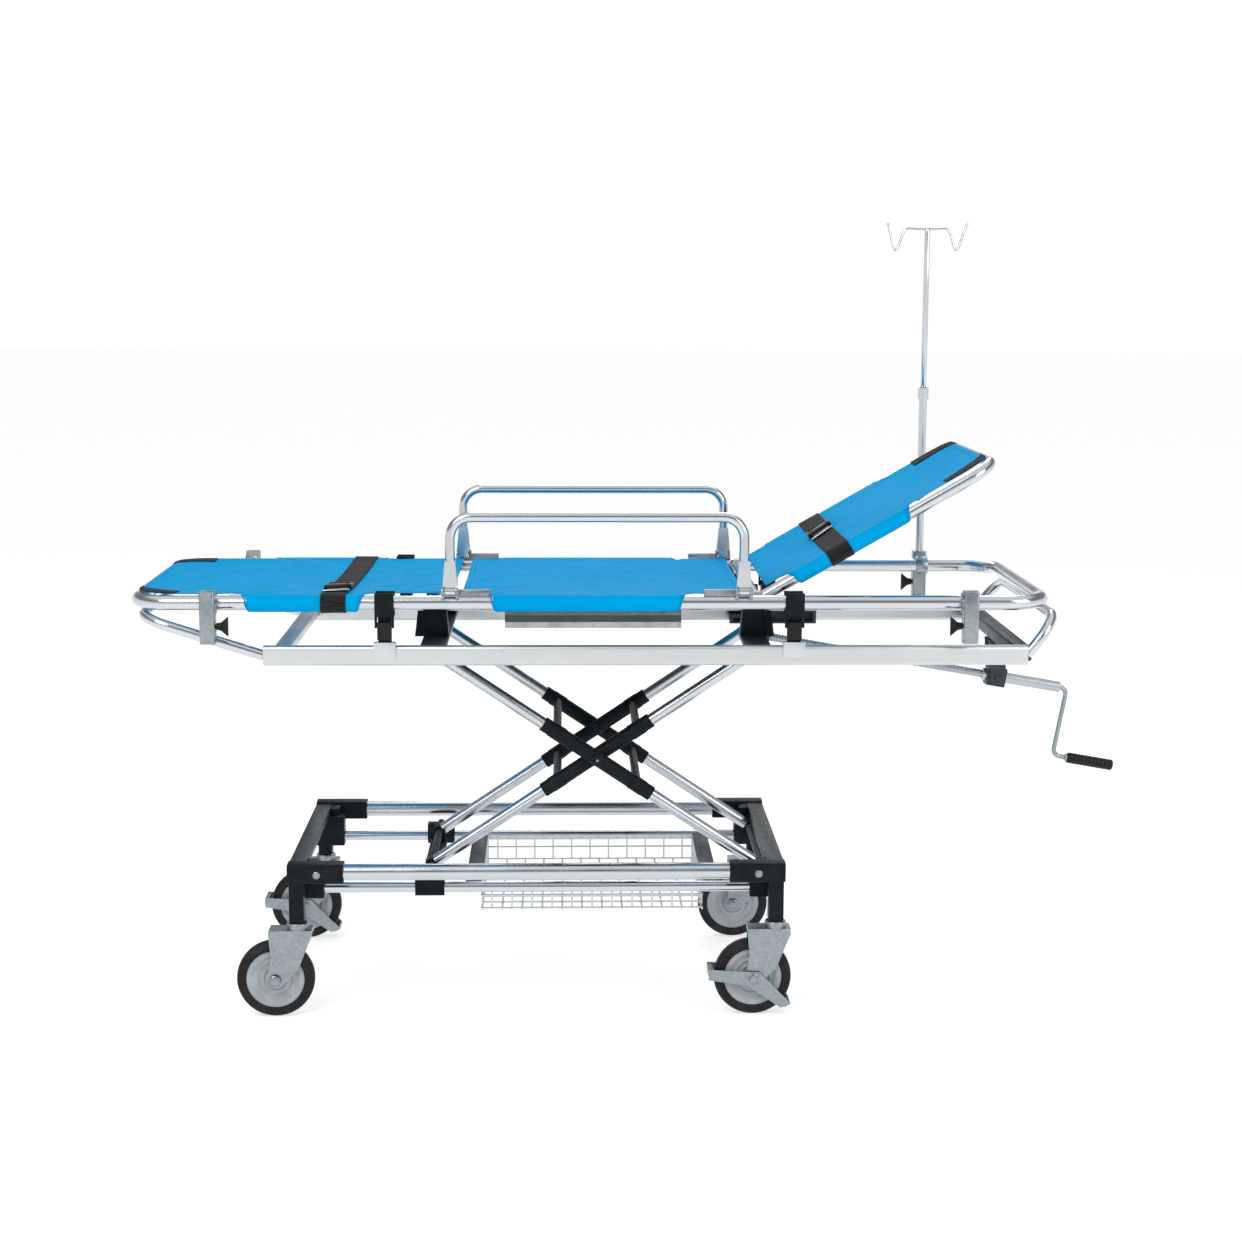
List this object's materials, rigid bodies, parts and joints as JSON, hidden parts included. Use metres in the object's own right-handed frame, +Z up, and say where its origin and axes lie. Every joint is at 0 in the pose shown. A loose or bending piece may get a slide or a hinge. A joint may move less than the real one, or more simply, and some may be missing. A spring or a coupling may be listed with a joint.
{
  "type": "stretcher trolley",
  "caption": "Castor trolley with a cranked scissor lift, a lift-off tube stretcher with blue vinyl covers, folding side guards, a raising backrest and a telescopic drip pole.",
  "frame": {"origin": "on the floor, under the middle of the whole trolley's box", "axes": "+X from the foot end to the head and crank end, +Y from the near side to the far side, +Z up"},
  "size_m": [2.0661, 0.658, 1.63],
  "materials": {
    "grey_paint": "satin",
    "black_casting": "moulded, fine grain",
    "dark_paint": "satin",
    "zinc": "zinc plated",
    "chrome_tube": "polished",
    "bright_aluminium": "drawn and anodised",
    "deck_extrusion": "satin anodised",
    "black_rubber": "matte",
    "hub_plastic": "moulded",
    "black_plastic": "moulded",
    "blue_vinyl": "coated fabric, semi gloss",
    "black_webbing": "woven webbing",
    "pan_sheet": "coated cloth",
    "steel_rod": "bright drawn"
  },
  "bodies": {
    "base": {"base_side_tubes": "bright_aluminium", "slide_tubes": "chrome_tube", "corner_castings": "black_casting", "base_cross_members": "dark_paint", "wire_basket": "grey_paint"},
    "arm_a": {"arm_a_tubes": "bright_aluminium", "arm_a_braces": "black_casting", "arm_a_fittings": "black_casting"},
    "arm_b": {"arm_b_tubes": "bright_aluminium", "arm_b_braces": "black_casting", "arm_b_fittings": "black_casting"},
    "foot_carriage": {"foot_carriage": "black_casting"},
    "lift_shaft": {"lift_shaft": "steel_rod", "lift_nut": "dark_paint"},
    "deck": {"deck_rails": "deck_extrusion", "deck_cross_members": "dark_paint", "deck_end_loops": "chrome_tube", "rest_blocks": "black_casting", "clamp_posts": "black_casting"},
    "screw_bearing": {"screw_bearing": "dark_paint"},
    "crank": {"crank_screw": "steel_rod", "crank_arm": "zinc"},
    "crank_grip": {"crank_grip": "black_plastic"},
    "stretcher": {"stretcher_frame": "chrome_tube", "stretcher_cross_tubes": "chrome_tube", "seat_pan": "pan_sheet", "leg_cover": "blue_vinyl", "seat_cover": "blue_vinyl", "leg_strap": "black_webbing", "guard_brackets": "zinc", "pole_sockets": "zinc"},
    "backrest": {"backrest_frame": "chrome_tube", "backrest_cover": "blue_vinyl", "chest_strap": "black_webbing"},
    "guard_near": {"guard_near": "chrome_tube"},
    "guard_far": {"guard_far": "chrome_tube"},
    "drip_pole": {"drip_pole": "chrome_tube"},
    "pole_hooks": {"pole_hooks": "chrome_tube"},
    "clamp_lever_near_foot": {"clamp_lever_near_foot": "black_plastic"},
    "socket_knob_near_foot": {"socket_knob_near_foot": "black_plastic"},
    "castor_near_foot": {"castor_fork_near_foot": "zinc"},
    "wheel_near_foot": {"castor_tyre_near_foot": "black_rubber", "castor_hub_near_foot": "hub_plastic"},
    "clamp_lever_near_head": {"clamp_lever_near_head": "black_plastic"},
    "socket_knob_near_head": {"socket_knob_near_head": "black_plastic"},
    "castor_near_head": {"castor_fork_near_head": "zinc"},
    "wheel_near_head": {"castor_tyre_near_head": "black_rubber", "castor_hub_near_head": "hub_plastic"},
    "clamp_lever_far_foot": {"clamp_lever_far_foot": "black_plastic"},
    "socket_knob_far_foot": {"socket_knob_far_foot": "black_plastic"},
    "castor_far_foot": {"castor_fork_far_foot": "zinc"},
    "wheel_far_foot": {"castor_tyre_far_foot": "black_rubber", "castor_hub_far_foot": "hub_plastic"},
    "clamp_lever_far_head": {"clamp_lever_far_head": "black_plastic"},
    "socket_knob_far_head": {"socket_knob_far_head": "black_plastic"},
    "castor_far_head": {"castor_fork_far_head": "zinc"},
    "wheel_far_head": {"castor_tyre_far_head": "black_rubber", "castor_hub_far_head": "hub_plastic"},
    "brake_near_head": {"brake_pedal_near_head": "zinc"},
    "brake_far_foot": {"brake_pedal_far_foot": "zinc"}
  },
  "joints": [
    {"name": "lift", "type": "hinge", "parent": "base", "child": "arm_a", "pos_m": [0.2568, 0, 0.285], "axis": [0, 1, 0], "range_deg": [-22.4, 2]},
    {"name": "deck_level", "type": "hinge", "parent": "arm_a", "child": "deck", "pos_m": [-0.4379, 0, 0.75006], "axis": [0, 1, 0], "range_deg": [-2, 22.4]},
    {"name": "arm_cross", "type": "hinge", "parent": "arm_a", "child": "arm_b", "pos_m": [-0.09055, 0, 0.51753], "axis": [0, 1, 0], "range_deg": [-4, 44.8]},
    {"name": "foot_carriage_pivot", "type": "hinge", "parent": "arm_b", "child": "foot_carriage", "pos_m": [-0.4379, 0, 0.285], "axis": [0, 1, 0], "range_deg": [-22.4, 2]},
    {"name": "lift_shaft_pivot", "type": "hinge", "parent": "arm_b", "child": "lift_shaft", "pos_m": [0.2568, 0, 0.75006], "axis": [0, 1, 0], "range_deg": [-19.2, 1.72]},
    {"name": "screw_swing", "type": "hinge", "parent": "deck", "child": "screw_bearing", "pos_m": [0.77, 0, 0.66], "axis": [0, 1, 0], "range_deg": [-0.3, 3.25]},
    {"name": "crank_turn", "type": "hinge", "parent": "screw_bearing", "child": "crank", "pos_m": [0.77, 0, 0.66], "axis": [0.9849, 0, -0.1729], "range_deg": [-1792, 160]},
    {"name": "grip_spin", "type": "hinge", "parent": "crank", "child": "crank_grip", "pos_m": [0.98193, 0, 0.4705], "axis": [0.9849, 0, -0.1729], "continuous": true},
    {"name": "stretcher_lift_off", "type": "slide", "parent": "deck", "child": "stretcher", "axis": [0, 0, 1], "range_m": [0, 0.2]},
    {"name": "backrest_tilt", "type": "hinge", "parent": "stretcher", "child": "backrest", "pos_m": [0.23, 0, 0.863], "axis": [0, -1, 0], "range_deg": [-30, 44.7]},
    {"name": "guard_near_fold", "type": "hinge", "parent": "stretcher", "child": "guard_near", "pos_m": [-0.093, -0.297, 0.888], "axis": [1, 0, 0], "range_deg": [0, 178]},
    {"name": "guard_far_fold", "type": "hinge", "parent": "stretcher", "child": "guard_far", "pos_m": [-0.093, 0.297, 0.888], "axis": [-1, 0, 0], "range_deg": [0, 178]},
    {"name": "drip_pole_lift_out", "type": "slide", "parent": "stretcher", "child": "drip_pole", "axis": [0, 0, 1], "range_m": [0, 0.25]},
    {"name": "pole_height", "type": "slide", "parent": "drip_pole", "child": "pole_hooks", "axis": [0, 0, 1], "range_m": [-0.33, 0.08]},
    {"name": "clamp_lever_near_foot_turn", "type": "hinge", "parent": "deck", "child": "clamp_lever_near_foot", "pos_m": [-0.517, -0.2995, 0.822], "axis": [-1, 0, 0], "range_deg": [0, 75]},
    {"name": "socket_knob_near_foot_turn", "type": "hinge", "parent": "stretcher", "child": "socket_knob_near_foot", "pos_m": [-0.8416, -0.314, 0.821], "axis": [1, 0, 0], "continuous": true},
    {"name": "castor_near_foot_swivel", "type": "hinge", "parent": "base", "child": "castor_near_foot", "pos_m": [-0.706, -0.262, 0.19], "axis": [0, 0, 1], "continuous": true},
    {"name": "wheel_near_foot_roll", "type": "hinge", "parent": "castor_near_foot", "child": "wheel_near_foot", "pos_m": [-0.7525, -0.262, 0.08], "axis": [0, 1, 0], "continuous": true},
    {"name": "clamp_lever_near_head_turn", "type": "hinge", "parent": "deck", "child": "clamp_lever_near_head", "pos_m": [0.302, -0.2995, 0.822], "axis": [-1, 0, 0], "range_deg": [0, 75]},
    {"name": "socket_knob_near_head_turn", "type": "hinge", "parent": "stretcher", "child": "socket_knob_near_head", "pos_m": [0.6295, -0.314, 0.821], "axis": [1, 0, 0], "continuous": true},
    {"name": "castor_near_head_swivel", "type": "hinge", "parent": "base", "child": "castor_near_head", "pos_m": [0.276, -0.262, 0.19], "axis": [0, 0, 1], "continuous": true},
    {"name": "wheel_near_head_roll", "type": "hinge", "parent": "castor_near_head", "child": "wheel_near_head", "pos_m": [0.2295, -0.262, 0.08], "axis": [0, 1, 0], "continuous": true},
    {"name": "clamp_lever_far_foot_turn", "type": "hinge", "parent": "deck", "child": "clamp_lever_far_foot", "pos_m": [-0.517, 0.2995, 0.822], "axis": [1, 0, 0], "range_deg": [0, 75]},
    {"name": "socket_knob_far_foot_turn", "type": "hinge", "parent": "stretcher", "child": "socket_knob_far_foot", "pos_m": [-0.8416, 0.314, 0.821], "axis": [1, 0, 0], "continuous": true},
    {"name": "castor_far_foot_swivel", "type": "hinge", "parent": "base", "child": "castor_far_foot", "pos_m": [-0.706, 0.262, 0.19], "axis": [0, 0, 1], "continuous": true},
    {"name": "wheel_far_foot_roll", "type": "hinge", "parent": "castor_far_foot", "child": "wheel_far_foot", "pos_m": [-0.7525, 0.262, 0.08], "axis": [0, 1, 0], "continuous": true},
    {"name": "clamp_lever_far_head_turn", "type": "hinge", "parent": "deck", "child": "clamp_lever_far_head", "pos_m": [0.302, 0.2995, 0.822], "axis": [1, 0, 0], "range_deg": [0, 75]},
    {"name": "socket_knob_far_head_turn", "type": "hinge", "parent": "stretcher", "child": "socket_knob_far_head", "pos_m": [0.6295, 0.314, 0.821], "axis": [1, 0, 0], "continuous": true},
    {"name": "castor_far_head_swivel", "type": "hinge", "parent": "base", "child": "castor_far_head", "pos_m": [0.276, 0.262, 0.19], "axis": [0, 0, 1], "continuous": true},
    {"name": "wheel_far_head_roll", "type": "hinge", "parent": "castor_far_head", "child": "wheel_far_head", "pos_m": [0.2295, 0.262, 0.08], "axis": [0, 1, 0], "continuous": true},
    {"name": "brake_near_head_press", "type": "hinge", "parent": "castor_near_head", "child": "brake_near_head", "pos_m": [0.2295, -0.262, 0.08], "axis": [0, 1, 0], "range_deg": [-12, 0]},
    {"name": "brake_far_foot_press", "type": "hinge", "parent": "castor_far_foot", "child": "brake_far_foot", "pos_m": [-0.7525, 0.262, 0.08], "axis": [0, 1, 0], "range_deg": [-12, 0]}
  ],
  "couplings": [
    {"joint": "deck_level", "follows": "lift", "ratio": -1},
    {"joint": "arm_cross", "follows": "lift", "ratio": -2},
    {"joint": "foot_carriage_pivot", "follows": "lift", "ratio": 1},
    {"joint": "lift_shaft_pivot", "follows": "lift", "ratio": 0.8565},
    {"joint": "screw_swing", "follows": "lift", "ratio": -0.1435},
    {"joint": "crank_turn", "follows": "lift", "ratio": 80}
  ]
}
